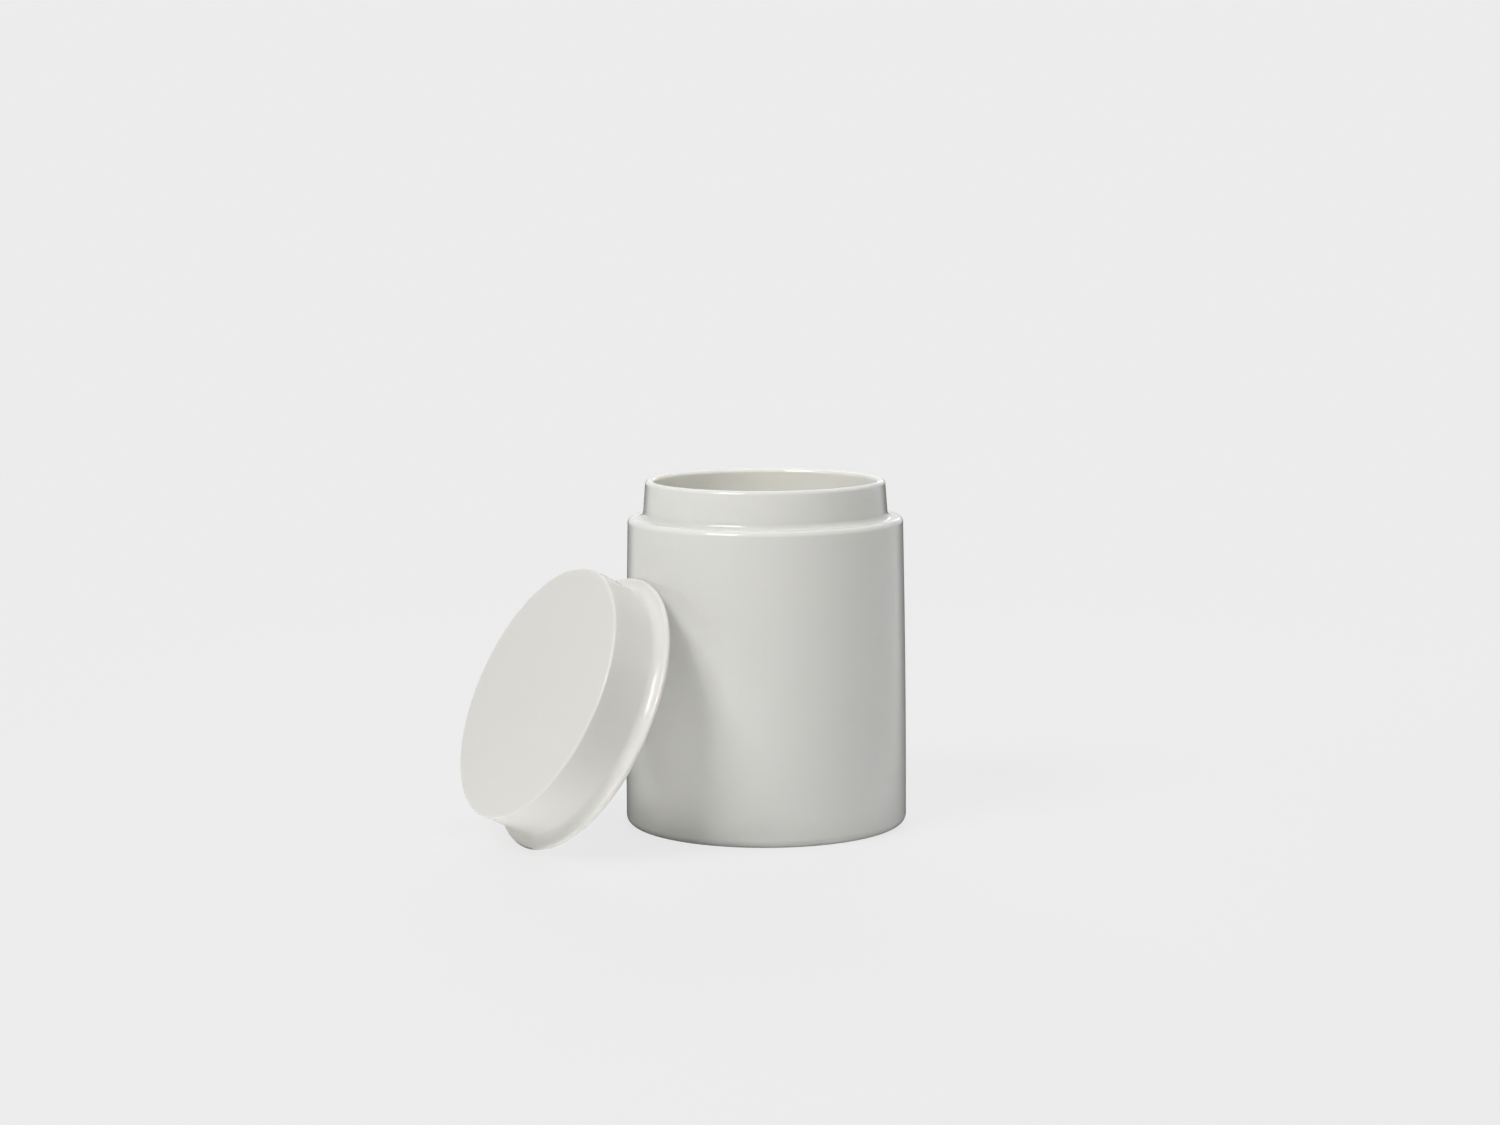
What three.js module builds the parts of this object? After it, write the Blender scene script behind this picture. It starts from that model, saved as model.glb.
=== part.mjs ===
// A white porcelain apothecary jar, with its lid taken off and leaning against its side.
// Sizes are in millimetres and +Z is up. The origin is on the jar's axis, in the plane of its foot.
// Both pieces are bodies of revolution, so each is one closed outline turned about its own axis.
// An outline is drawn as radius and height, with the porcelain always on its left.
import * as THREE from "three";

// Jar body
const BODY_HEIGHT = 109.8; // from the foot to the flat of the shoulder
const SHOULDER_RADIUS = 48.9; // outside, just under the rounded corner of the shoulder
const BODY_SWELL = 1.2; // the outside is this much wider at the base than at the shoulder
const BODY_WALL = 3.6;
const BASE_ROUND = 3.0; // outer edge of the base
const SHOULDER_ROUND = 2.0; // outer corner of the shoulder
const INSIDE_SHOULDER_ROUND = 2.4; // both bends of the inside, from the neck out to the wall
const FLOOR_THICKNESS = 4.4;
const FLOOR_ROUND = 7.0; // inside corner of the floor

// Foot ring
const FOOT_WIDTH = 3.4; // the flat ring that stands on the table
const FOOT_RECESS = 0.8; // depth of the hollow inside the ring

// Neck
const NECK_HEIGHT = 13.2; // from the flat of the shoulder to the crest of the lip
const SHOULDER_LEDGE = 5.4; // from the body's outside in to the neck's outside
const NECK_TAPER = 1.0; // the outside draws in by this much between the shoulder and the lip
const NECK_WALL = 3.0;
const NECK_FILLET = 2.2; // where the neck rises from the shoulder

// Lid
const FIT_CLEARANCE = 0.5; // between the neck and the hollow of the lid, all round
const LID_HEADROOM = 3.4; // between the lip and the roof of the hollow when the lid is on
const LID_ROOF = 4.0;
const LID_WALL = 2.1; // at the waist, just above the flange
const LID_EDGE_SPREAD = 0.4; // the face's edge stands out by this much from the waist
const LID_EDGE_ROUND = 0.8; // outer edge of the face
const FACE_CROWN = 0.3; // rise of the face from its edge to its middle
const ROOF_ROUND = 2.6; // inside corner of the roof
const FLANGE_OVERHANG = 1.6; // beyond the body's outside at the shoulder
const FLANGE_THICKNESS = 2.0; // its outer edge is a full round
const FLANGE_FILLET = 3.2; // where the lid's wall rises from the flange

// Resting place of the lid
const LEAN = 26.6; // degrees from upright, towards the jar
const REST_GAP = 0.3; // kept between the flange and the wall that it leans on

// Fineness of the facets
const TURN_STEPS = 64; // round each axis, a multiple of 4
const ARC_STEP = 22.5; // degrees
const WALL_STEPS = 8; // along the swelling wall of the body
const CURVE_STEPS = 4; // along each shallow curve of the lid

const GLAZE = { color: 0xe8e7e2, roughness: 0.1, metalness: 0 };

// What follows from the sizes above
const baseRadius = SHOULDER_RADIUS + BODY_SWELL;
const floorTop = FOOT_RECESS + FLOOR_THICKNESS;
const insideShoulder = BODY_HEIGHT - BODY_WALL;
const neckRadius = SHOULDER_RADIUS - SHOULDER_LEDGE;
const lipRadius = neckRadius - NECK_TAPER;
const lipCrest = BODY_HEIGHT + NECK_HEIGHT;
const lipRound = NECK_WALL / 2;
const hollowDepth = NECK_HEIGHT + LID_HEADROOM;
const lidHeight = hollowDepth + LID_ROOF;
const flangeRadius = SHOULDER_RADIUS + FLANGE_OVERHANG;
const flangeRound = FLANGE_THICKNESS / 2;

const point = (radius, height) => new THREE.Vector2(radius, height);

// Points of an arc about a centre, from one angle to another in degrees.
// An angle of 0 looks away from the axis and 90 looks up.
function arc(centreRadius, centreHeight, radius, from, to) {
  const steps = Math.ceil(Math.abs(to - from) / ARC_STEP);
  const [start, end] = [from, to].map(THREE.MathUtils.degToRad);
  const curve = new THREE.EllipseCurve(centreRadius, centreHeight, radius, radius, start, end, to < from);
  return curve.getPoints(steps);
}

// Points of a shallow curve that leaves its start towards the bend.
function shallowCurve(start, bend, end) {
  return new THREE.QuadraticBezierCurve(start, bend, end).getPoints(CURVE_STEPS);
}

// Outside radius of the body at a height: upright at the base, drawing in towards the shoulder.
function bodyRadius(height) {
  const share = (height - BASE_ROUND) / (BODY_HEIGHT - SHOULDER_ROUND - BASE_ROUND);
  return baseRadius - BODY_SWELL * share * share;
}

// Points that follow the body's wall between two heights, at a depth inside its outer surface.
function bodyWall(fromHeight, toHeight, depth) {
  return Array.from({ length: WALL_STEPS + 1 }, (_, step) => {
    const height = THREE.MathUtils.lerp(fromHeight, toHeight, step / WALL_STEPS);
    return point(bodyRadius(height) - depth, height);
  });
}

// The jar: underside, outer wall, shoulder, neck and lip, then down the inside to the floor.
function jarOutline() {
  const footOuter = baseRadius - BASE_ROUND;
  const footInner = footOuter - FOOT_WIDTH;
  const neckFoot = neckRadius - NECK_WALL;
  const insideCorner = bodyRadius(insideShoulder) - BODY_WALL;
  const insideRound = Math.min(INSIDE_SHOULDER_ROUND, (insideCorner - neckFoot) / 2);
  const insideFloor = bodyRadius(floorTop + FLOOR_ROUND) - BODY_WALL;
  return [
    point(0, FOOT_RECESS),
    point(footInner - FOOT_RECESS, FOOT_RECESS),
    point(footInner, 0),
    ...arc(footOuter, BASE_ROUND, BASE_ROUND, -90, 0),
    ...bodyWall(BASE_ROUND, BODY_HEIGHT - SHOULDER_ROUND, 0),
    ...arc(SHOULDER_RADIUS - SHOULDER_ROUND, BODY_HEIGHT - SHOULDER_ROUND, SHOULDER_ROUND, 0, 90),
    ...arc(neckRadius + NECK_FILLET, BODY_HEIGHT + NECK_FILLET, NECK_FILLET, -90, -180),
    ...arc(lipRadius - lipRound, lipCrest - lipRound, lipRound, 0, 180),
    ...arc(neckFoot + insideRound, insideShoulder + insideRound, insideRound, 180, 270),
    ...arc(insideCorner - insideRound, insideShoulder - insideRound, insideRound, 90, 0),
    ...bodyWall(insideShoulder - insideRound, floorTop + FLOOR_ROUND, BODY_WALL),
    ...arc(insideFloor - FLOOR_ROUND, floorTop + FLOOR_ROUND, FLOOR_ROUND, 0, -90),
    point(0, floorTop),
  ];
}

// The lid, standing on its flange: roof of the hollow, inside wall, flange, outer wall and face.
function lidOutline() {
  const mouthRadius = neckRadius + FIT_CLEARANCE;
  const roofRadius = lipRadius + FIT_CLEARANCE;
  const wallRadius = mouthRadius + LID_WALL;
  const fillet = Math.min(FLANGE_FILLET, flangeRadius - flangeRound - wallRadius);
  const waist = point(wallRadius, FLANGE_THICKNESS + fillet);
  const edge = point(waist.x + LID_EDGE_SPREAD, lidHeight - LID_EDGE_ROUND);
  const faceRim = point(edge.x - LID_EDGE_ROUND, lidHeight);
  const crown = point(0, lidHeight + FACE_CROWN);
  return [
    point(0, hollowDepth),
    ...arc(roofRadius - ROOF_ROUND, hollowDepth - ROOF_ROUND, ROOF_ROUND, 90, 0),
    ...arc(mouthRadius + NECK_FILLET, NECK_FILLET, NECK_FILLET, 180, 270),
    ...arc(flangeRadius - flangeRound, flangeRound, flangeRound, -90, 90),
    ...arc(wallRadius + fillet, waist.y, fillet, -90, -180),
    ...shallowCurve(waist, point(waist.x, (waist.y + edge.y) / 2), edge),
    ...arc(faceRim.x, edge.y, LID_EDGE_ROUND, 0, 90),
    ...shallowCurve(faceRim, point(faceRim.x / 2, crown.y), crown),
  ];
}

// Turns an outline about the Z axis, without the points that two neighbouring stretches share.
function revolve(name, outline, material) {
  const apart = outline.filter((p, i) => i === 0 || p.distanceTo(outline[i - 1]) > 0.001);
  const geometry = new THREE.LatheGeometry(apart, TURN_STEPS);
  geometry.rotateX(Math.PI / 2);
  const mesh = new THREE.Mesh(geometry, material);
  mesh.name = name;
  return mesh;
}

// Furthest that a section reaches away from its axis at a height, or nothing where it has no part.
function reachAt(section, height) {
  return section.slice(1).reduce((reach, end, i) => {
    const start = section[i];
    const share = (height - start.y) / (end.y - start.y);
    return share >= 0 && share <= 1 ? Math.max(reach, start.x + (end.x - start.x) * share) : reach;
  }, -Infinity);
}

// Sets the lid on its flange's edge, leaning on the jar from the -X side.
function leanLid(lid, jarSection, lidSection) {
  const lean = THREE.MathUtils.degToRad(LEAN);
  const turned = [1, -1].flatMap((side) =>
    lidSection.map(({ x: radius, y: height }) =>
      point(
        side * radius * Math.sin(lean) - height * Math.cos(lean),
        side * radius * Math.cos(lean) + height * Math.sin(lean),
      ),
    ),
  );
  const lift = -Math.min(...turned.map((p) => p.y));
  const standing = turned.map((p) => point(p.x, p.y + lift));
  const heights = [...jarSection, ...standing].map((p) => p.y);
  const touching = Math.max(...heights.map((z) => reachAt(standing, z) + reachAt(jarSection, z)));
  lid.rotation.y = lean - Math.PI / 2;
  lid.position.set(-touching - REST_GAP, 0, lift);
}

const glaze = new THREE.MeshStandardMaterial(GLAZE);
const jarSection = jarOutline();
const lidSection = lidOutline();
const jar = revolve("jar", jarSection, glaze);
const lid = revolve("lid", lidSection, glaze.clone());
leanLid(lid, jarSection, lidSection);

const apothecaryJar = new THREE.Group();
apothecaryJar.add(jar, lid);

export default apothecaryJar;
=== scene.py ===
"""A white porcelain apothecary jar, with its lid taken off and leaning against its side.

Each piece is an outline turned about its own axis, as the real ones are. The pieces' own sizes
are in millimetres, from the axis and from the piece's base. All that Blender gets is in metres.
"""

import logging
import math
from abc import ABC, abstractmethod
from dataclasses import dataclass, field
from enum import Enum
from typing import Any, Iterable, Mapping, Union

import bmesh
import bpy
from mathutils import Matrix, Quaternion, Vector


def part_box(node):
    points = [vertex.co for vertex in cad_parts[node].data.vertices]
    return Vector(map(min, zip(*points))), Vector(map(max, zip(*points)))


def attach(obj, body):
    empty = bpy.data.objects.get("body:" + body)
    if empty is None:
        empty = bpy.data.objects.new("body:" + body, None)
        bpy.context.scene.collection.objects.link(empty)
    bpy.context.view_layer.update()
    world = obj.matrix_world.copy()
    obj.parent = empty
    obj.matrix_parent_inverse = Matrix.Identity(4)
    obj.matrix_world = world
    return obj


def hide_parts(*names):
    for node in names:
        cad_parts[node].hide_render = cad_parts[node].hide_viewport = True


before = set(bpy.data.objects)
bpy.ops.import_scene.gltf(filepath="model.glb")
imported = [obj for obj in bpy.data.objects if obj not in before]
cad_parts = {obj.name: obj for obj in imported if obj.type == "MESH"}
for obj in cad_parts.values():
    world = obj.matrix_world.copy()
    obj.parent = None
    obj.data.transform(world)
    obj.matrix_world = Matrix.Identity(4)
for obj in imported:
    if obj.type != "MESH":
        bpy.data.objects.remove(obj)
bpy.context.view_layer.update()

Colour = tuple[float, float, float]
Point = tuple[float, float, float]
Value = Union["Signal", float]

MM = 0.001
MERGE_WITHIN = 0.001 * MM
NOWHERE = -10.0  # a radius with nothing inside it
WHITE: Colour = (1.0, 1.0, 1.0)
log = logging.getLogger("apothecary_jar")


def opaque(colour: Colour) -> tuple[float, float, float, float]:
    """Adds the alpha that a colour socket asks for."""
    return (*colour, 1.0)


class Signal:
    """A shader socket that takes part in Python arithmetic, adding its Math nodes."""

    def __init__(self, shader: "Shader", socket: bpy.types.NodeSocket) -> None:
        """Keeps the socket and the shader that it belongs to.

        Args:
            shader: The shader that new nodes are added to.
            socket: The output socket that carries the value.
        """
        self.shader = shader
        self.socket = socket

    def _math(self, operation: str, *values: Value) -> "Signal":
        """Adds one Math node.

        Args:
            operation: The Math node's operation.
            *values: Its inputs, in order.

        Returns:
            The node's value.
        """
        inputs = dict(enumerate(values))
        return self.shader.node("ShaderNodeMath", {"operation": operation}, inputs)["Value"]

    def __add__(self, other: Value) -> "Signal":
        """Adds a value."""
        return self._math("ADD", self, other)

    __radd__ = __add__

    def __sub__(self, other: Value) -> "Signal":
        """Takes a value away."""
        return self._math("SUBTRACT", self, other)

    def __rsub__(self, other: float) -> "Signal":
        """Takes this from a value."""
        return self._math("SUBTRACT", other, self)

    def __mul__(self, other: Value) -> "Signal":
        """Multiplies by a value."""
        return self._math("MULTIPLY", self, other)

    __rmul__ = __mul__

    def __truediv__(self, other: Value) -> "Signal":
        """Divides by a value."""
        return self._math("DIVIDE", self, other)

    def __rtruediv__(self, other: float) -> "Signal":
        """Divides a value by this."""
        return self._math("DIVIDE", other, self)

    def __pow__(self, other: Value) -> "Signal":
        """Raises to a power."""
        return self._math("POWER", self, other)

    def __rpow__(self, other: float) -> "Signal":
        """Raises a value to this power."""
        return self._math("POWER", other, self)

    def at_most(self, limit: float) -> "Signal":
        """Keeps the value from going over a limit."""
        return self._math("MINIMUM", self, limit)

    def below(self, limit: float) -> "Signal":
        """Gives 1 where the value is under a limit."""
        return self._math("LESS_THAN", self, limit)

    def above(self, limit: float) -> "Signal":
        """Gives 1 where the value is over a limit."""
        return self._math("GREATER_THAN", self, limit)

    def fade(self, start: float, end: float) -> "Signal":
        """Goes smoothly from 1 to 0 between two values.

        Args:
            start: The value up to which the result is 1.
            end: The value from which the result is 0.

        Returns:
            The faded value.
        """
        settings = {"interpolation_type": "SMOOTHSTEP"}
        inputs = {"Value": self, "From Min": start, "From Max": end, "To Min": 1.0, "To Max": 0.0}
        return self.shader.node("ShaderNodeMapRange", settings, inputs)["Result"]


class Shader:
    """A node tree under construction, for a material or for the world."""

    def __init__(self, tree: bpy.types.NodeTree) -> None:
        """Empties the tree and starts with nothing.

        Args:
            tree: The node tree to build in.
        """
        self.tree = tree
        tree.nodes.clear()

    @classmethod
    def of_material(cls, name: str) -> tuple[bpy.types.Material, "Shader"]:
        """Makes a material and a shader for it.

        Args:
            name: The material's name.

        Returns:
            The material and its empty shader.
        """
        material = bpy.data.materials.new(name)
        material.use_nodes = True
        return material, cls(material.node_tree)

    def node(
        self,
        kind: str,
        settings: Mapping[str, Any] | None = None,
        inputs: Mapping[Union[str, int], Any] | None = None,
    ) -> dict[str, Signal]:
        """Adds one node.

        Args:
            kind: The node's type name.
            settings: Properties of the node, set before its inputs.
            inputs: Values or signals of its input sockets, by name or place.

        Returns:
            The node's outputs by name, in order.
        """
        node = self.tree.nodes.new(kind)
        for key, value in (settings or {}).items():
            setattr(node, key, value)
        for key, value in (inputs or {}).items():
            socket = node.inputs[key]
            if isinstance(value, Signal):
                self.tree.links.new(value.socket, socket)
            else:
                socket.default_value = value
        return {socket.name: Signal(self, socket) for socket in node.outputs if socket.enabled}

    def object_point(self) -> Signal:
        """Gives the shaded point in the object's axes, as a vector."""
        return self.node("ShaderNodeTexCoord")["Object"]

    def piece_point(self, location: Vector, lean: float) -> Signal:
        """Gives the shaded point in a piece's own axes.

        Args:
            location: Where the piece's own origin is, in metres.
            lean: How far the piece is turned about Y, in radians.

        Returns:
            The point, as a vector.
        """
        settings = {"vector_type": "TEXTURE"}
        point = self.object_point()
        inputs = {"Vector": point, "Location": location, "Rotation": (0.0, lean, 0.0)}
        return self.node("ShaderNodeMapping", settings, inputs)["Vector"]

    def split(self, vector: Signal) -> list[Signal]:
        """Gives the three parts of a vector."""
        return list(self.node("ShaderNodeSeparateXYZ", inputs={"Vector": vector}).values())

    def noise(self, point: Signal, size: float, detail: float = 2.0) -> Signal:
        """Gives soft noise around 0.5.

        Args:
            point: Where the noise is read.
            size: The size of its features, in metres.
            detail: How many finer layers it has.

        Returns:
            The noise.
        """
        inputs = {"Vector": point, "Scale": 1.0 / size, "Detail": detail, "Roughness": 0.5}
        return self.node("ShaderNodeTexNoise", {"noise_dimensions": "3D"}, inputs)["Fac"]

    def mix(self, share: Signal, first: Union[Signal, Colour], second: Colour) -> Signal:
        """Mixes two colours.

        Args:
            share: How much of the second colour shows, from 0 to 1.
            first: A colour, or a signal that carries one.
            second: The other colour.

        Returns:
            The mixed colour.
        """
        start = first if isinstance(first, Signal) else opaque(first)
        # The node has a pair of sockets for each type of value. Places 6 and 7 take colours.
        inputs = {0: share, 6: start, 7: opaque(second)}
        return self.node("ShaderNodeMix", {"data_type": "RGBA"}, inputs)["Result"]

    def matt(self, colour: Colour) -> Signal:
        """Gives a matt surface."""
        return self.node("ShaderNodeBsdfDiffuse", inputs={"Color": opaque(colour)})["BSDF"]

    def glow(self, strength: float) -> Signal:
        """Gives a surface that shines white, whatever falls on it."""
        return self.node("ShaderNodeEmission", inputs={"Strength": strength})["Emission"]

    def blend(self, share: Signal, first: Signal, second: Signal) -> Signal:
        """Mixes two surfaces, with the second one's share given."""
        return self.node("ShaderNodeMixShader", inputs={0: share, 1: first, 2: second})["Shader"]


@dataclass(frozen=True)
class Pool:
    """An inside corner of a piece, where the glaze lies thicker.

    Attributes:
        radius: The corner's distance from the axis.
        height: The corner's height.
        reach: How far the thicker glaze spreads from the corner.
    """

    radius: float
    height: float
    reach: float

    def mask(self, radius: Signal, height: Signal) -> Signal:
        """Gives 1 in the corner and 0 out of its reach.

        Args:
            radius: The shaded point's distance from the axis, in millimetres.
            height: The shaded point's height, in millimetres.

        Returns:
            The mask.
        """
        across = radius - self.radius
        along = height - self.height
        return ((across * across + along * along) ** 0.5).fade(0.0, self.reach)


@dataclass(frozen=True)
class BareRing:
    """The ring under a piece that is wiped clean of glaze.

    Attributes:
        inner: Its inner radius.
        outer: Its outer radius.
        top: The height that it reaches up to.
        softness: How far the glaze thins on either side of its edges.
    """

    inner: float
    outer: float
    top: float
    softness: float = 0.25

    def mask(self, radius: Signal, height: Signal) -> Signal:
        """Gives 1 where the porcelain is bare.

        Args:
            radius: The shaded point's distance from the axis, in millimetres.
            height: The shaded point's height, in millimetres.

        Returns:
            The mask.
        """
        within_outer = radius.fade(self.outer - self.softness, self.outer + self.softness)
        within_inner = radius.fade(self.inner - self.softness, self.inner + self.softness)
        return within_outer * (1 - within_inner) * height.below(self.top)


@dataclass(frozen=True)
class PaintedLightInside:
    """The inside of a piece, painted lighter than its outside as painted light for the light that
    reaches inside, up to a surface halfway through its wall.

    Attributes:
        wide: Radius of that surface up to the step.
        narrow: Its radius over the step.
        step: Height of the step.
        bottom: Height of its lower end.
        softness: How far the two tones run into each other on either side of it.
    """

    wide: float
    narrow: float
    step: float
    bottom: float
    softness: float = 0.8

    def mask(self, radius: Signal, height: Signal) -> Signal:
        """Gives 1 on the inside and 0 on the outside.

        Args:
            radius: The shaded point's distance from the axis, in millimetres.
            height: The shaded point's height, in millimetres.

        Returns:
            The mask.
        """
        limit = self.wide + height.above(self.step) * (self.narrow - self.wide)
        return (radius - limit).fade(-self.softness, self.softness) * height.above(self.bottom)


@dataclass(frozen=True)
class GlazedPorcelain:
    """Clear glossy glaze over white porcelain, with a bare ring where the piece stood in the kiln.

    Attributes:
        body: Colour of the glazed porcelain.
        cool_body: The cooler colour that it drifts to.
        tone_size: Width of that drift.
        painted_light_inside: Colour of the inside, painted lighter than the body as painted light
            for the light that reaches inside.
        pooled: Colour of thick glaze.
        pooled_share: How much of that colour shows where the glaze is thickest.
        bare: Colour of the unglazed porcelain.
        gloss_roughness: Roughness of the glaze.
        roughness_drift: How much that changes from place to place.
        bare_roughness: Roughness of the unglazed porcelain.
        refraction: Refractive index of the glaze.
        depth_share: How much of the light goes into the porcelain before it comes back.
        depth_colour: How far each colour of that light goes, as a share of the depth.
        depth: How far it goes.
        wave_size: Width of the slow waves of the surface.
        wave_height: Their height.
        ripple_size: Width of the fine ripples of the glaze.
        ripple_height: Their height.
        grain_size: Width of the bare porcelain's grain.
        grain_height: Its height.
        speck: Colour of the few tiny specks in the glaze.
        speck_share: How much of that colour shows.
        speck_spacing: Distance between the places that may have a speck.
        speck_chance: How many of these places have one, from 0 to 1.
        speck_radius: Radius of a speck.
        speck_core: How much of that radius is as dark as its middle, from 0 to 1.
        speck_pit: How deep a speck lies in the glaze.
    """

    body: Colour = (0.829, 0.829, 0.795)
    cool_body: Colour = (0.817, 0.823, 0.798)
    tone_size: float = 70 * MM
    # Painted light: the inside's colour is lighter than the body's, standing in for light that
    # reaches inside.
    painted_light_inside: Colour = (0.94, 0.937, 0.888)
    pooled: Colour = (0.74, 0.755, 0.71)
    pooled_share: float = 0.55
    bare: Colour = (0.80, 0.775, 0.725)
    gloss_roughness: float = 0.06
    roughness_drift: float = 0.03
    bare_roughness: float = 0.62
    refraction: float = 1.56
    depth_share: float = 0.5
    depth_colour: Colour = (1.0, 0.88, 0.72)
    depth: float = 2.0 * MM
    wave_size: float = 30 * MM
    wave_height: float = 0.12 * MM
    ripple_size: float = 3.5 * MM
    ripple_height: float = 0.0035 * MM
    grain_size: float = 0.5 * MM
    grain_height: float = 0.05 * MM
    speck: Colour = (0.42, 0.38, 0.32)
    speck_share: float = 0.7
    speck_spacing: float = 9 * MM
    speck_chance: float = 0.045
    speck_radius: float = 0.2 * MM
    speck_core: float = 0.4
    speck_pit: float = 0.03 * MM

    def specks(self, shader: Shader, point: Signal) -> Signal:
        """Strews the tiny specks.

        Args:
            shader: The shader to add them to.
            point: The shaded point, as a vector in metres.

        Returns:
            1 in a speck and 0 around it.
        """
        settings = {"voronoi_dimensions": "3D", "feature": "F1"}
        inputs = {"Vector": point, "Scale": 1.0 / self.speck_spacing}
        cells = shader.node("ShaderNodeTexVoronoi", settings, inputs)
        draw = shader.node("ShaderNodeSeparateColor", inputs={"Color": cells["Color"]})["Red"]
        edge = self.speck_radius / self.speck_spacing
        spots = cells["Distance"].fade(self.speck_core * edge, edge)
        return spots * draw.below(self.speck_chance)

    def dress(
        self,
        name: str,
        location: Vector,
        lean: float,
        pools: Iterable[Pool],
        bare_ring: BareRing,
        painted_light_inside: PaintedLightInside,
    ) -> bpy.types.Material:
        """Makes the finish for one piece.

        Args:
            name: The material's name.
            location: Where the piece's own origin is, in metres.
            lean: How far the piece is turned about Y, in radians.
            pools: The piece's inside corners.
            bare_ring: The ring that it stood on in the kiln.
            painted_light_inside: Its inside, which is painted lighter as painted light.

        Returns:
            The material.
        """
        material, shader = Shader.of_material(name)
        point = shader.piece_point(location, lean)
        x, y, height = (part / MM for part in shader.split(point))
        radius = (x * x + y * y) ** 0.5
        specks = self.specks(shader, point)
        bare = bare_ring.mask(radius, height)

        colour = shader.mix(shader.noise(point, self.tone_size), self.body, self.cool_body)
        # Painted light: the inside is painted in the lighter inside colour.
        colour = shader.mix(painted_light_inside.mask(radius, height), colour, self.painted_light_inside)
        for pool in pools:
            pooled = pool.mask(radius, height) * self.pooled_share
            colour = shader.mix(pooled, colour, self.pooled)
        colour = shader.mix(specks * self.speck_share, colour, self.speck)
        colour = shader.mix(bare, colour, self.bare)

        waves = shader.noise(point, self.wave_size, detail=1.0)
        ripples = shader.noise(point, self.ripple_size)
        grain = shader.noise(point, self.grain_size, detail=4.0)
        relief = waves * self.wave_height + ripples * self.ripple_height
        relief = relief - specks * self.speck_pit + bare * grain * self.grain_height
        bump_inputs = {"Strength": 1.0, "Distance": 1.0, "Height": relief}
        bump = shader.node("ShaderNodeBump", inputs=bump_inputs)["Normal"]

        roughness = self.gloss_roughness + (ripples - 0.5) * self.roughness_drift
        roughness = roughness + bare * (self.bare_roughness - self.gloss_roughness)
        inputs = {
            "Base Color": colour,
            "Roughness": roughness,
            "Normal": bump,
            "IOR": self.refraction,
            "Subsurface Weight": self.depth_share,
            "Subsurface Radius": self.depth_colour,
            "Subsurface Scale": self.depth,
        }
        surface = shader.node("ShaderNodeBsdfPrincipled", inputs=inputs)["BSDF"]
        shader.node("ShaderNodeOutputMaterial", inputs={"Surface": surface})
        return material


@dataclass(frozen=True)
class Corner:
    """A corner of an outline.

    Attributes:
        radius: Its distance from the axis.
        height: Its height above the piece's base.
        rounding: The radius that it is rounded with, or 0 for none.
    """

    radius: float
    height: float
    rounding: float = 0.0


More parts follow.
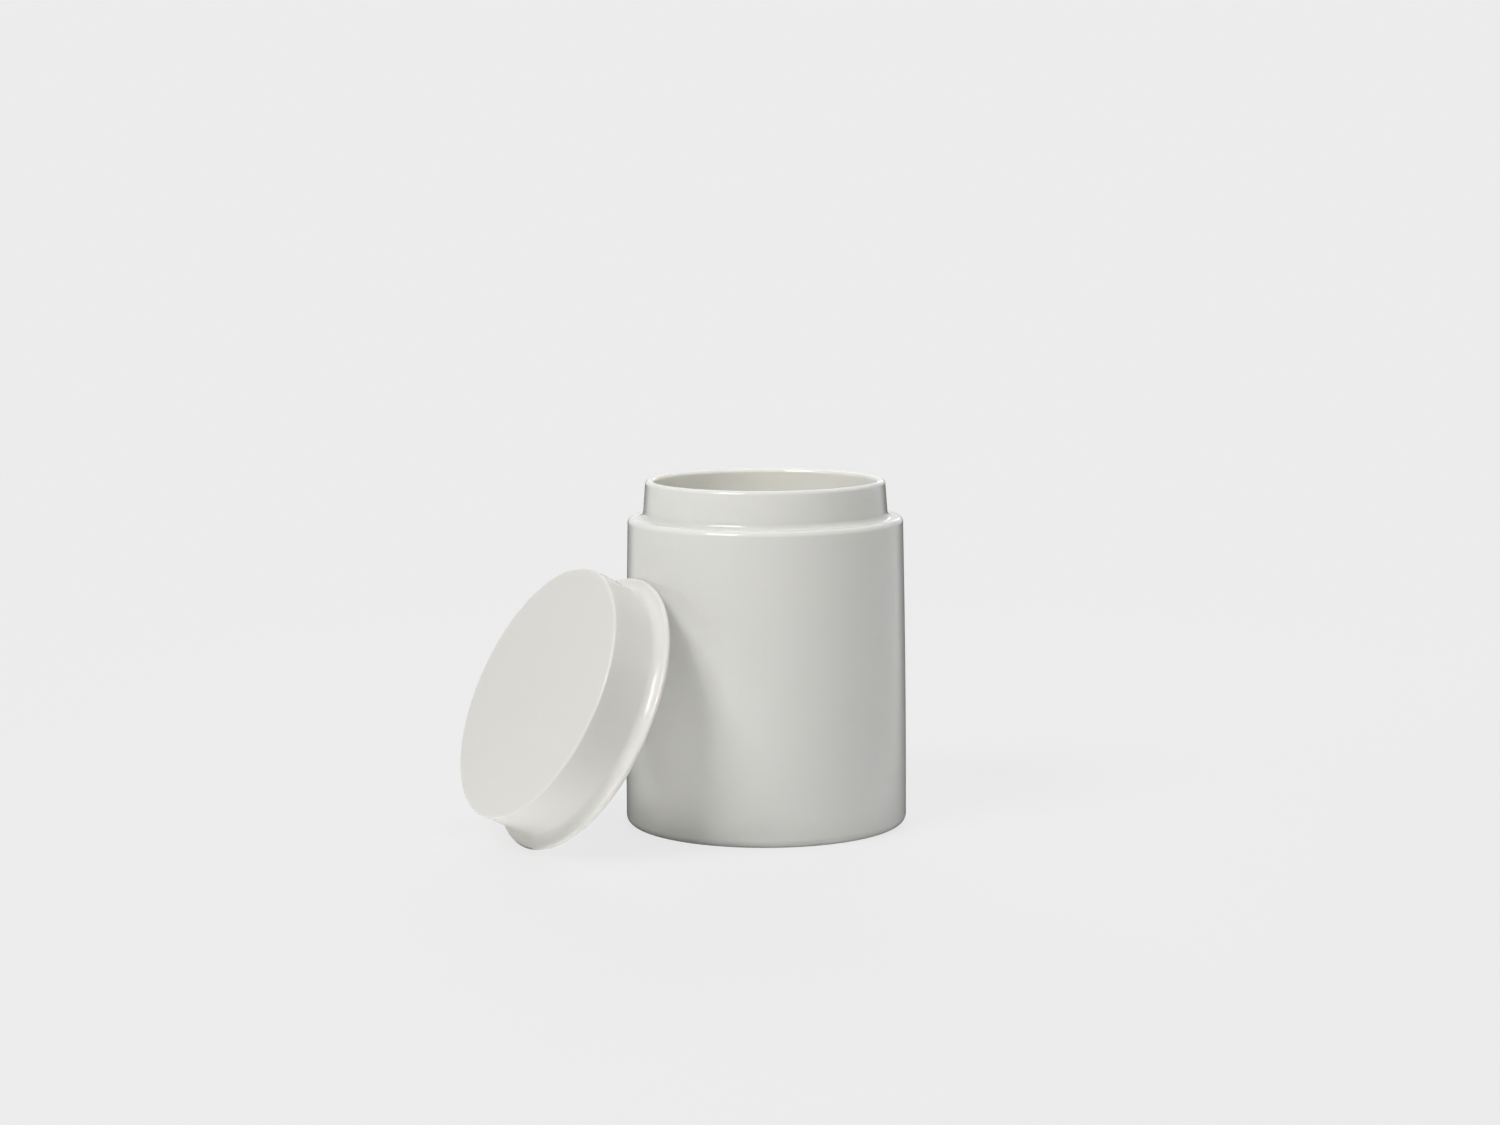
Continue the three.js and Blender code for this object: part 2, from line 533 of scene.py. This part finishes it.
@dataclass
class TurnedPiece(ABC):
    """A piece of porcelain that is one outline turned about its axis.

    Attributes:
        name: The finished piece's name.
        node: The CAD node that it stands for.
        body: The CAD body that it moves with.
        turn_steps: Facets round the axis.
        bend_step: The most that two facets of a rounding may turn, in radians.
        finish: What it is dressed in.
    """

    name: str
    node: str
    body: str
    turn_steps: int = 192
    bend_step: float = math.radians(7.5)
    finish: GlazedPorcelain = GlazedPorcelain()

    @abstractmethod
    def outline(self) -> list[Corner]:
        """Gives the outline's corners, from the axis out and round to the axis again."""

    def draw(self) -> bpy.types.Object:
        """Draws the outline as a chain of edges in the XZ plane, corner by corner.

        Returns:
            The object, left in edit mode.
        """
        corners = self.outline()
        bpy.ops.object.select_all(action="DESELECT")
        bpy.ops.mesh.primitive_plane_add(size=MM, location=(0.0, 0.0, 0.0))
        piece = bpy.context.object
        piece.name = piece.data.name = self.name
        bpy.ops.object.mode_set(mode="EDIT")
        bpy.ops.mesh.select_all(action="SELECT")
        bpy.ops.mesh.merge(type="CENTER")
        bpy.ops.transform.translate(value=(corners[0].radius * MM, 0.0, corners[0].height * MM))
        for start, end in zip(corners, corners[1:]):
            step = ((end.radius - start.radius) * MM, 0.0, (end.height - start.height) * MM)
            bpy.ops.mesh.extrude_region_move(TRANSFORM_OT_translate={"value": step})
        return piece

    def round_corners(self, piece: bpy.types.Object) -> None:
        """Bevels each corner of the chain that has a rounding.

        Args:
            piece: The drawn outline, in edit mode.
        """
        corners = self.outline()
        for before, corner, after in zip(corners, corners[1:], corners[2:]):
            if not corner.rounding:
                continue
            entry = Vector((corner.radius - before.radius, corner.height - before.height))
            leave = Vector((after.radius - corner.radius, after.height - corner.height))
            turn = entry.angle(leave)
            self.select_place(piece, corner)
            bpy.ops.mesh.bevel(
                offset=corner.rounding * math.tan(turn / 2) * MM,
                offset_type="OFFSET",
                segments=math.ceil(turn / self.bend_step),
                profile=0.5,
                affect="VERTICES",
                clamp_overlap=False,
            )

    @staticmethod
    def select_place(piece: bpy.types.Object, corner: Corner) -> None:
        """Selects the vertex at a corner and nothing else.

        Args:
            piece: The outline, in edit mode.
            corner: The corner.
        """
        shape = bmesh.from_edit_mesh(piece.data)
        place = Vector((corner.radius * MM, 0.0, corner.height * MM))
        bpy.ops.mesh.select_all(action="DESELECT")
        nearest = min(shape.verts, key=lambda vertex: (vertex.co - place).length)
        nearest.select = True
        shape.select_flush_mode()
        bmesh.update_edit_mesh(piece.data)

    def turn(self) -> bpy.types.Object:
        """Draws, rounds and spins the outline into a closed solid.

        Returns:
            The solid, standing on the origin in object mode.
        """
        piece = self.draw()
        self.round_corners(piece)
        bpy.ops.mesh.select_all(action="SELECT")
        bpy.ops.mesh.spin(
            steps=self.turn_steps,
            angle=2 * math.pi,
            center=(0.0, 0.0, 0.0),
            axis=(0.0, 0.0, 1.0),
        )
        bpy.ops.mesh.select_all(action="SELECT")
        bpy.ops.mesh.remove_doubles(threshold=MERGE_WITHIN)
        bpy.ops.mesh.normals_make_consistent(inside=False)
        bpy.ops.object.mode_set(mode="OBJECT")
        bpy.ops.object.shade_smooth()
        bpy.ops.object.modifier_add(type="WEIGHTED_NORMAL")
        piece.modifiers[-1].keep_sharp = True
        bpy.ops.object.modifier_apply(modifier=piece.modifiers[-1].name)
        return piece

    @abstractmethod
    def build(self) -> bpy.types.Object:
        """Makes the finished piece at its place in the frame."""

    def join_frame(self, piece: bpy.types.Object, material: bpy.types.Material) -> None:
        """Dresses the piece and lets it stand for its node.

        Args:
            piece: The finished mesh.
            material: Its finish.
        """
        piece.data.materials.clear()
        piece.data.materials.append(material)
        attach(piece, self.body)
        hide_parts(self.node)
        log.info("%s: %d faces, rides on %s", piece.name, len(piece.data.polygons), self.body)


@dataclass
class Jar(TurnedPiece):
    """The jar: foot ring, swelling wall, shoulder, neck and lip.

    Attributes:
        height: Overall height, from the frame.
        base_radius: Outside of the wall at the base, from the frame.
        neck_height: Height from the flat of the shoulder to the crest of the lip.
        swell: How much the wall stands out further at the base than at the shoulder.
        wall: Thickness of the wall.
        base_round: Rounding of the base's outer edge.
        shoulder_round: Rounding of the shoulder's outer corner.
        inside_round: Rounding of both inside bends, from the neck out to the wall.
        floor_thickness: Thickness of the floor.
        floor_round: Rounding of the floor's inside corner.
        foot_width: Width of the ring that the jar stands on.
        foot_recess: Depth of the hollow inside that ring.
        foot_round: Rounding of that hollow's edges.
        ledge: Width of the shoulder, from the neck to its outer edge.
        neck_taper: How much the neck draws in between the shoulder and the lip.
        neck_wall: Thickness of the neck, whose lip is a full round.
        neck_fillet: Rounding where the neck rises from the shoulder.
        wall_steps: Facets along the height of the wall.
        neck_pool: Reach of the thicker glaze where the neck rises.
        base_pool: Reach of the thicker glaze at the base's edge.
        bare_margin: How far the bare ring goes past the foot's outside.
        bare_top: Height that the bare ring reaches up to.
        painted_light_bottom: Height over which the inside is painted lighter, as painted light.
    """

    name: str = "jar_porcelain"
    node: str = "jar"
    body: str = "jar"
    height: float = field(init=False)
    base_radius: float = field(init=False)
    neck_height: float = 13.2
    swell: float = 1.2
    wall: float = 3.6
    base_round: float = 3.0
    shoulder_round: float = 2.0
    inside_round: float = 2.4
    floor_thickness: float = 4.4
    floor_round: float = 7.0
    foot_width: float = 3.4
    foot_recess: float = 0.8
    foot_round: float = 0.3
    ledge: float = 5.4
    neck_taper: float = 1.0
    neck_wall: float = 3.0
    neck_fillet: float = 2.2
    wall_steps: int = 16
    neck_pool: float = 3.5
    base_pool: float = 3.0
    bare_margin: float = 0.4
    bare_top: float = 0.15
    painted_light_bottom: float = 2.0

    def __post_init__(self) -> None:
        """Takes the overall height and width from the frame."""
        low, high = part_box("jar")
        self.height = high.z / MM
        self.base_radius = (high.x - low.x) / 2 / MM

    @property
    def shoulder_height(self) -> float:
        """Height of the flat of the shoulder."""
        return self.height - self.neck_height

    @property
    def neck_radius(self) -> float:
        """Outside of the neck where it leaves the shoulder."""
        return self.base_radius - self.swell - self.ledge

    @property
    def foot_outer(self) -> float:
        """Outside of the ring that the jar stands on."""
        return self.base_radius - self.base_round

    @property
    def foot_inner(self) -> float:
        """Inside of the ring that the jar stands on."""
        return self.foot_outer - self.foot_width

    def body_radius(self, height: float) -> float:
        """Gives the outside of the wall at a height.

        Args:
            height: The height above the foot.

        Returns:
            The radius, full at the base and drawing in towards the shoulder.
        """
        rise = self.shoulder_height - self.shoulder_round - self.base_round
        share = (height - self.base_round) / rise
        return self.base_radius - self.swell * share * share

    def wall_corners(self, start: float, end: float, depth: float) -> list[Corner]:
        """Follows the wall between two heights.

        Args:
            start: The first height.
            end: The last height.
            depth: How far inside the outer surface.

        Returns:
            Unrounded corners, evenly spaced, without the two ends.
        """
        shares = (step / self.wall_steps for step in range(1, self.wall_steps))
        heights = (start + (end - start) * share for share in shares)
        return [Corner(self.body_radius(height) - depth, height) for height in heights]

    def outline(self) -> list[Corner]:
        """Gives the jar's corners.

        Returns:
            The corners, from the underside up the outside and down the inside.
        """
        floor_top = self.foot_recess + self.floor_thickness
        shoulder = self.shoulder_height
        shoulder_radius = self.base_radius - self.swell
        neck = self.neck_radius
        lip = neck - self.neck_taper
        lip_round = self.neck_wall / 2
        inside_shoulder = shoulder - self.wall
        inside_corner = self.body_radius(inside_shoulder) - self.wall
        inside_top = inside_shoulder - self.inside_round
        return [
            Corner(0.0, self.foot_recess),
            Corner(self.foot_inner - self.foot_recess, self.foot_recess, self.foot_round),
            Corner(self.foot_inner, 0.0, self.foot_round),
            Corner(self.base_radius, 0.0, self.base_round),
            *self.wall_corners(self.base_round, shoulder - self.shoulder_round, 0.0),
            Corner(shoulder_radius, shoulder, self.shoulder_round),
            Corner(neck, shoulder, self.neck_fillet),
            Corner(lip, self.height, lip_round),
            Corner(lip - self.neck_wall, self.height, lip_round),
            Corner(neck - self.neck_wall, inside_shoulder, self.inside_round),
            Corner(inside_corner, inside_shoulder, self.inside_round),
            *self.wall_corners(inside_top, floor_top + self.floor_round, self.wall),
            Corner(self.base_radius - self.wall, floor_top, self.floor_round),
            Corner(0.0, floor_top),
        ]

    def build(self) -> bpy.types.Object:
        """Makes the jar, standing on its foot at the frame's origin.

        Returns:
            The jar.
        """
        piece = self.turn()
        material = self.finish.dress(
            "jar_glaze",
            location=Vector((0.0, 0.0, 0.0)),
            lean=0.0,
            pools=[
                Pool(self.neck_radius, self.shoulder_height, self.neck_pool),
                Pool(self.base_radius, 0.0, self.base_pool),
            ],
            bare_ring=BareRing(
                inner=self.foot_inner,
                outer=self.foot_outer + self.bare_margin,
                top=self.bare_top,
            ),
            # Painted light: the jar's inside is painted lighter than its outside.
            painted_light_inside=PaintedLightInside(
                wide=self.base_radius - self.swell / 2 - self.wall / 2,
                narrow=self.neck_radius - self.neck_taper / 2 - self.neck_wall / 2,
                step=self.shoulder_height - self.wall / 2,
                bottom=self.painted_light_bottom,
            ),
        )
        self.join_frame(piece, material)
        return piece


@dataclass
class Lid(TurnedPiece):
    """The lid: a hollow cap with a flange, leaning on the jar.

    Attributes:
        jar: The jar that it belongs to, whose neck it fits.
        lean: How far its face leans from upright, in radians.
        clearance: Gap all round between the neck and the hollow.
        headroom: Gap between the lip and the hollow's roof when the lid is on.
        roof: Thickness of the roof.
        wall: Thickness of the wall at the waist, just above the flange.
        edge_spread: How much the face's edge stands out from the waist.
        edge_round: Rounding of the face's edge.
        crown: Rise of the face from its edge to its middle.
        roof_round: Rounding of the roof's inside corner.
        flange_thickness: Thickness of the flange, whose edge is a full round.
        flange_fillet: Rounding where the wall rises from the flange.
        face_steps: Facets along the wall, and along the face.
        flange_pool: Reach of the thicker glaze where the wall rises.
        bare_from_mouth: Distance of the bare ring from the mouth of the hollow.
        bare_width: Width of the bare ring.
        bare_top: Height that the bare ring reaches up to.
        painted_light_bottom: Height over which the inside is painted lighter, as painted light,
            below all of the lid.
    """

    name: str = "lid_porcelain"
    node: str = "lid"
    body: str = "lid"
    jar: Jar = field(default_factory=Jar)
    lean: float = math.radians(26.6)
    clearance: float = 0.5
    headroom: float = 3.4
    roof: float = 4.0
    wall: float = 2.1
    edge_spread: float = 0.4
    edge_round: float = 0.8
    crown: float = 0.3
    roof_round: float = 2.6
    flange_thickness: float = 2.0
    flange_fillet: float = 3.2
    face_steps: int = 8
    flange_pool: float = 4.0
    bare_from_mouth: float = 2.0
    bare_width: float = 3.0
    bare_top: float = 0.1
    painted_light_bottom: float = -1.0
    # Painted shade: the lid's porcelain is painted a little darker and warmer than the jar's, the
    # same porcelain turned down for the light on the lid.
    finish: GlazedPorcelain = GlazedPorcelain(
        body=(0.802, 0.791, 0.757),
        cool_body=(0.792, 0.785, 0.753),
        gloss_roughness=0.12,
        refraction=1.48,
    )

    @property
    def mouth(self) -> float:
        """Inside of the hollow where it opens."""
        return self.jar.neck_radius + self.clearance

    @property
    def waist(self) -> float:
        """Outside of the wall where it rises from the flange."""
        return self.mouth + self.wall

    @property
    def hollow_depth(self) -> float:
        """Height of the hollow's roof above the flange's underside."""
        return self.jar.neck_height + self.headroom

    def outline(self) -> list[Corner]:
        """Gives the lid's corners.

        Returns:
            The corners, from the roof of the hollow out and up to the middle of the face.
        """
        low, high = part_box("lid")
        flange = (high.y - low.y) / 2 / MM
        flange_round = self.flange_thickness / 2
        roof_radius = self.mouth - self.jar.neck_taper
        edge = self.waist + self.edge_spread
        rim = edge - self.edge_round
        top = self.hollow_depth + self.roof
        waist_top = self.flange_thickness + self.flange_fillet
        rise = top - waist_top
        shares = [step / self.face_steps for step in range(1, self.face_steps)]
        return [
            Corner(0.0, self.hollow_depth),
            Corner(roof_radius, self.hollow_depth, self.roof_round),
            Corner(self.mouth, 0.0, self.jar.neck_fillet),
            Corner(flange, 0.0, flange_round),
            Corner(flange, self.flange_thickness, flange_round),
            Corner(self.waist, self.flange_thickness, self.flange_fillet),
            *(Corner(self.waist + self.edge_spread * s * s, waist_top + rise * s) for s in shares),
            Corner(edge, top, self.edge_round),
            *(Corner(rim * (1 - s), top + self.crown * s * (2 - s)) for s in shares),
            Corner(0.0, top + self.crown),
        ]

    def build(self) -> bpy.types.Object:
        """Makes the lid and leans it where its node is.

        Returns:
            The lid.
        """
        piece = self.turn()
        tilt = self.lean - math.pi / 2
        piece.rotation_euler.y = tilt
        bpy.ops.object.transform_apply(location=False, rotation=True, scale=False)
        low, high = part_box("lid")
        own_low_z = min(vertex.co.z for vertex in piece.data.vertices)
        own_high_x = max(vertex.co.x for vertex in piece.data.vertices)
        location = Vector((high.x - own_high_x, 0.0, low.z - own_low_z))
        piece.location = location
        bpy.ops.object.transform_apply(location=True, rotation=False, scale=False)
        bare_inner = self.mouth + self.bare_from_mouth
        material = self.finish.dress(
            "lid_glaze",
            location=location,
            lean=tilt,
            pools=[Pool(self.waist, self.flange_thickness, self.flange_pool)],
            bare_ring=BareRing(
                inner=bare_inner,
                outer=bare_inner + self.bare_width,
                top=self.bare_top,
            ),
            # Painted light: the lid's hollow is painted lighter than its outside.
            painted_light_inside=PaintedLightInside(
                wide=self.mouth + self.wall / 2,
                narrow=NOWHERE,
                step=self.hollow_depth + self.roof / 2,
                bottom=self.painted_light_bottom,
            ),
        )
        self.join_frame(piece, material)
        return piece


class Place(Enum):
    """Where a studio light stands, as seen from the camera."""

    LEFT = "left"
    FRONT = "front"
    RIGHT = "right"
    BACK = "back"
    BEHIND = "behind"
    TOP = "top"
    TABLE = "table"


@dataclass(frozen=True)
class SoftLight:
    """An evenly bright rectangle that lights the object.

    Attributes:
        place: Where it stands.
        azimuth: Its direction from the target, in degrees round from -Y towards +X.
        elevation: Its direction from the target, in degrees above the horizon.
        width: Its width, in metres.
        height: Its height, in metres.
        radiance: How bright its face is, on the scale of the backdrop's strength.
        tint: Its colour.
        mirrored: Whether the glaze mirrors it.
        distance: Its distance from the target, in metres.
        target: The point that it looks at, in metres.
    """

    place: Place
    azimuth: float
    elevation: float
    width: float
    height: float
    radiance: float
    tint: Colour = WHITE
    mirrored: bool = True
    distance: float = 1.3
    target: Point = (0.0, 0.0, 0.06)


@dataclass(frozen=True)
class Studio:
    """The pale floor, the lights and the camera.

    Attributes:
        camera_azimuth: Direction of the camera, in degrees round from -Y towards +X.
        camera_distance: Its distance from the jar's axis, in metres.
        camera_height: Its height, in metres.
        aim_left: How far to the left of the axis it looks, in metres.
        aim_height: The height that it looks at, in metres.
        roll: Its turn about its own axis, in degrees.
        lens: Focal length, in millimetres.
        sensor: Width of its sensor, in millimetres.
        backdrop: How bright the floor and the backdrop look.
        ambient: Strength of the even light of the room.
        paper: Colour of the floor where it is lit.
        floor_size: Width of the floor, in metres.
        shadow_depth: How deep the object's shadow on the floor is.
        shadow_glow: How much the floor shines less near the object, where the lamps light it too.
        shadow_core: How far from the axis the floor starts to be even, in metres.
        shadow_reach: How far from the axis it is even, in metres.
        painted_reflection_tone: How bright the ground straight behind the object looks in the
            glaze, a dark ground painted for the glaze's reflections only, as a painted reflection.
        edge_start: Where that ground's tip is, in metres from the axis towards the camera.
        edge_outside: Cosine of the angle at the tip, from straight behind, at which it starts.
        edge_inside: The same where it is full.
        lights: The soft lights.
    """

    camera_azimuth: float = -28.5
    camera_distance: float = 1.1296
    camera_height: float = 0.2361
    aim_left: float = 0.0055
    aim_height: float = 0.0932
    roll: float = 0.2413
    lens: float = 76.78
    sensor: float = 36.0
    backdrop: float = 0.838
    ambient: float = 0.05
    paper: Colour = (0.80, 0.80, 0.80)
    floor_size: float = 60.0
    shadow_depth: float = 0.10
    shadow_glow: float = 0.095
    shadow_core: float = 0.2
    shadow_reach: float = 0.6
    painted_reflection_tone: float = 0.06
    edge_start: float = 0.12
    edge_outside: float = 0.75
    edge_inside: float = 0.93
    lights: tuple[SoftLight, ...] = (
        SoftLight(
            Place.LEFT,
            azimuth=-71.0,
            elevation=45.5,
            width=0.58,
            height=0.48,
            radiance=10.0,
            tint=(1.0, 0.995, 0.985),
        ),
        SoftLight(
            Place.FRONT,
            azimuth=-25.0,
            elevation=20.0,
            width=0.45,
            height=0.35,
            radiance=1.65,
            mirrored=False,
        ),
        SoftLight(
            Place.RIGHT,
            azimuth=80.0,
            elevation=33.0,
            width=1.50,
            height=0.85,
            radiance=0.25,
            tint=(0.94, 0.97, 1.0),
        ),
        SoftLight(
            Place.TOP,
            azimuth=40.0,
            elevation=77.0,
            width=0.80,
            height=0.80,
            radiance=3.2,
            mirrored=False,
        ),
        SoftLight(
            Place.BACK,
            azimuth=150.0,
            elevation=24.0,
            width=0.90,
            height=0.60,
            radiance=6.4,
            tint=(0.97, 0.985, 1.0),
            mirrored=False,
        ),
        SoftLight(
            Place.BEHIND,
            azimuth=140.0,
            elevation=14.0,
            width=0.14,
            height=0.15,
            radiance=1.4,
        ),
        SoftLight(
            Place.TABLE,
            azimuth=0.0,
            elevation=-90.0,
            width=0.30,
            height=0.24,
            radiance=0.36,
            mirrored=False,
            distance=0.1,
            target=(-0.22, -0.09, 0.101),
        ),
    )

    def direction(self, azimuth: float, elevation: float) -> Vector:
        """Gives the unit vector from the object towards an angle.

        Args:
            azimuth: Degrees round from the -Y side, towards +X.
            elevation: Degrees above the horizon.

        Returns:
            The direction.
        """
        a, e = math.radians(azimuth), math.radians(elevation)
        return Vector((math.sin(a) * math.cos(e), -math.cos(a) * math.cos(e), math.sin(e)))

    @property
    def front(self) -> Vector:
        """Level direction from the object towards the camera."""
        return self.direction(self.camera_azimuth, 0.0)

    def make_camera(self) -> None:
        """Sets the camera at the photograph's angle."""
        data = bpy.data.cameras.new("camera")
        data.sensor_width = self.sensor
        data.lens = self.lens
        camera = bpy.data.objects.new("camera", data)
        bpy.context.scene.collection.objects.link(camera)
        right = Vector((-self.front.y, self.front.x, 0.0))
        up = Vector((0.0, 0.0, 1.0))
        camera.location = self.front * self.camera_distance + up * self.camera_height
        aim = right * -self.aim_left + up * self.aim_height
        look = (aim - camera.location).to_track_quat("-Z", "Y")
        roll = Quaternion((0.0, 0.0, 1.0), -math.radians(self.roll))
        camera.rotation_euler = (look @ roll).to_euler()
        bpy.context.scene.camera = camera

    def make_light(self, light: SoftLight) -> None:
        """Hangs one soft light.

        Args:
            light: Its place, size and brightness.
        """
        data = bpy.data.lights.new(light.place.value, "AREA")
        data.shape = "RECTANGLE"
        data.size, data.size_y = light.width, light.height
        data.energy = light.radiance * light.width * light.height * math.pi
        data.color = light.tint
        lamp = bpy.data.objects.new(light.place.value, data)
        bpy.context.scene.collection.objects.link(lamp)
        lamp.visible_camera = False
        lamp.visible_glossy = light.mirrored
        towards = self.direction(light.azimuth, light.elevation)
        lamp.location = towards * light.distance + Vector(light.target)
        lamp.rotation_euler = towards.to_track_quat("Z", "Y").to_euler()
        log.info("light %s: %.1f W", light.place.value, data.energy)

    def seen(self, shader: Shader) -> tuple[Signal, Signal]:
        """Tells what the camera sees, straight, mirrored or through something clear.

        Args:
            shader: The shader that asks.

        Returns:
            1 for all that is seen, and 1 for what is seen mirrored.
        """
        rays = shader.node("ShaderNodeLightPath")
        mirrored = rays["Is Glossy Ray"]
        seen = rays["Is Camera Ray"] + mirrored + rays["Is Transmission Ray"]
        return seen.at_most(1.0), mirrored

    def make_world(self) -> None:
        """Sets the even light of the room, with the pale backdrop where it is seen."""
        world = bpy.data.worlds.new("room")
        bpy.context.scene.world = world
        world.use_nodes = True
        shader = Shader(world.node_tree)
        seen, _ = self.seen(shader)
        strength = self.ambient + seen * (self.backdrop - self.ambient)
        inputs = {"Color": opaque(WHITE), "Strength": strength}
        background = shader.node("ShaderNodeBackground", inputs=inputs)["Background"]
        shader.node("ShaderNodeOutputWorld", inputs={"Surface": background})

    def behind(self, x: Signal, y: Signal) -> Signal:
        """Marks the ground straight behind the object, as the camera sees it, where a dark ground
        is painted for the glaze's reflections only.

        Args:
            x: The floor's point, along X.
            y: The floor's point, along Y.

        Returns:
            1 on that ground, fading to 0 on both its sides.
        """
        u, v = x - self.front.x * self.edge_start, y - self.front.y * self.edge_start
        cosine = (u * -self.front.x - v * self.front.y) / (u * u + v * v) ** 0.5
        return 1 - cosine.fade(self.edge_outside, self.edge_inside)

    def floor_surface(self, shader: Shader) -> Signal:
        """Gives the floor's surface, which the lamps light as plain paper.

        The camera sees the backdrop's tone there, with the object's shadow in it. Near the object
        the glaze mirrors the lit paper itself, and straight behind the object a dark ground that
        only the glaze sees, a painted reflection which draws the thin dark line along its edges.

        Args:
            shader: The floor's shader.

        Returns:
            The surface.
        """
        x, y, _ = shader.split(shader.object_point())
        near = ((x * x + y * y) ** 0.5).fade(self.shadow_core, self.shadow_reach)
        seen, mirrored = self.seen(shader)
        paper = shader.matt(self.paper)
        shade = shader.matt((self.shadow_depth,) * 3)
        light = shader.glow(self.backdrop - self.shadow_glow)
        shadow = shader.node("ShaderNodeAddShader", inputs={0: shade, 1: light})["Shader"]
        pale = shader.blend(near, shader.glow(self.backdrop), shadow)
        pale = shader.blend(mirrored * near, pale, paper)
        # Painted reflection: a dark ground that only the glaze mirrors, which draws dark lines
        # along the edges.
        pale = shader.blend(mirrored * self.behind(x, y), pale, shader.glow(self.painted_reflection_tone))
        return shader.blend(seen, paper, pale)

    def make_floor(self) -> None:
        """Lays the pale floor, which keeps the object's shadow and meets the backdrop evenly."""
        bpy.ops.object.select_all(action="DESELECT")
        bpy.ops.mesh.primitive_plane_add(size=self.floor_size, location=(0.0, 0.0, 0.0))
        floor = bpy.context.object
        floor.name = "floor"
        material, shader = Shader.of_material("paper")
        surface = self.floor_surface(shader)
        shader.node("ShaderNodeOutputMaterial", inputs={"Surface": surface})
        floor.data.materials.append(material)

    def build(self) -> None:
        """Builds the whole studio."""
        bpy.context.scene.view_settings.view_transform = "Standard"
        self.make_camera()
        self.make_world()
        self.make_floor()
        for light in self.lights:
            self.make_light(light)


def main() -> None:
    """Builds the studio and both pieces, and reports them."""
    logging.basicConfig(level=logging.INFO, format="%(name)s: %(message)s")
    Studio().build()
    jar = Jar()
    jar.build()
    Lid(jar=jar).build()


if __name__ == "__main__":
    main()
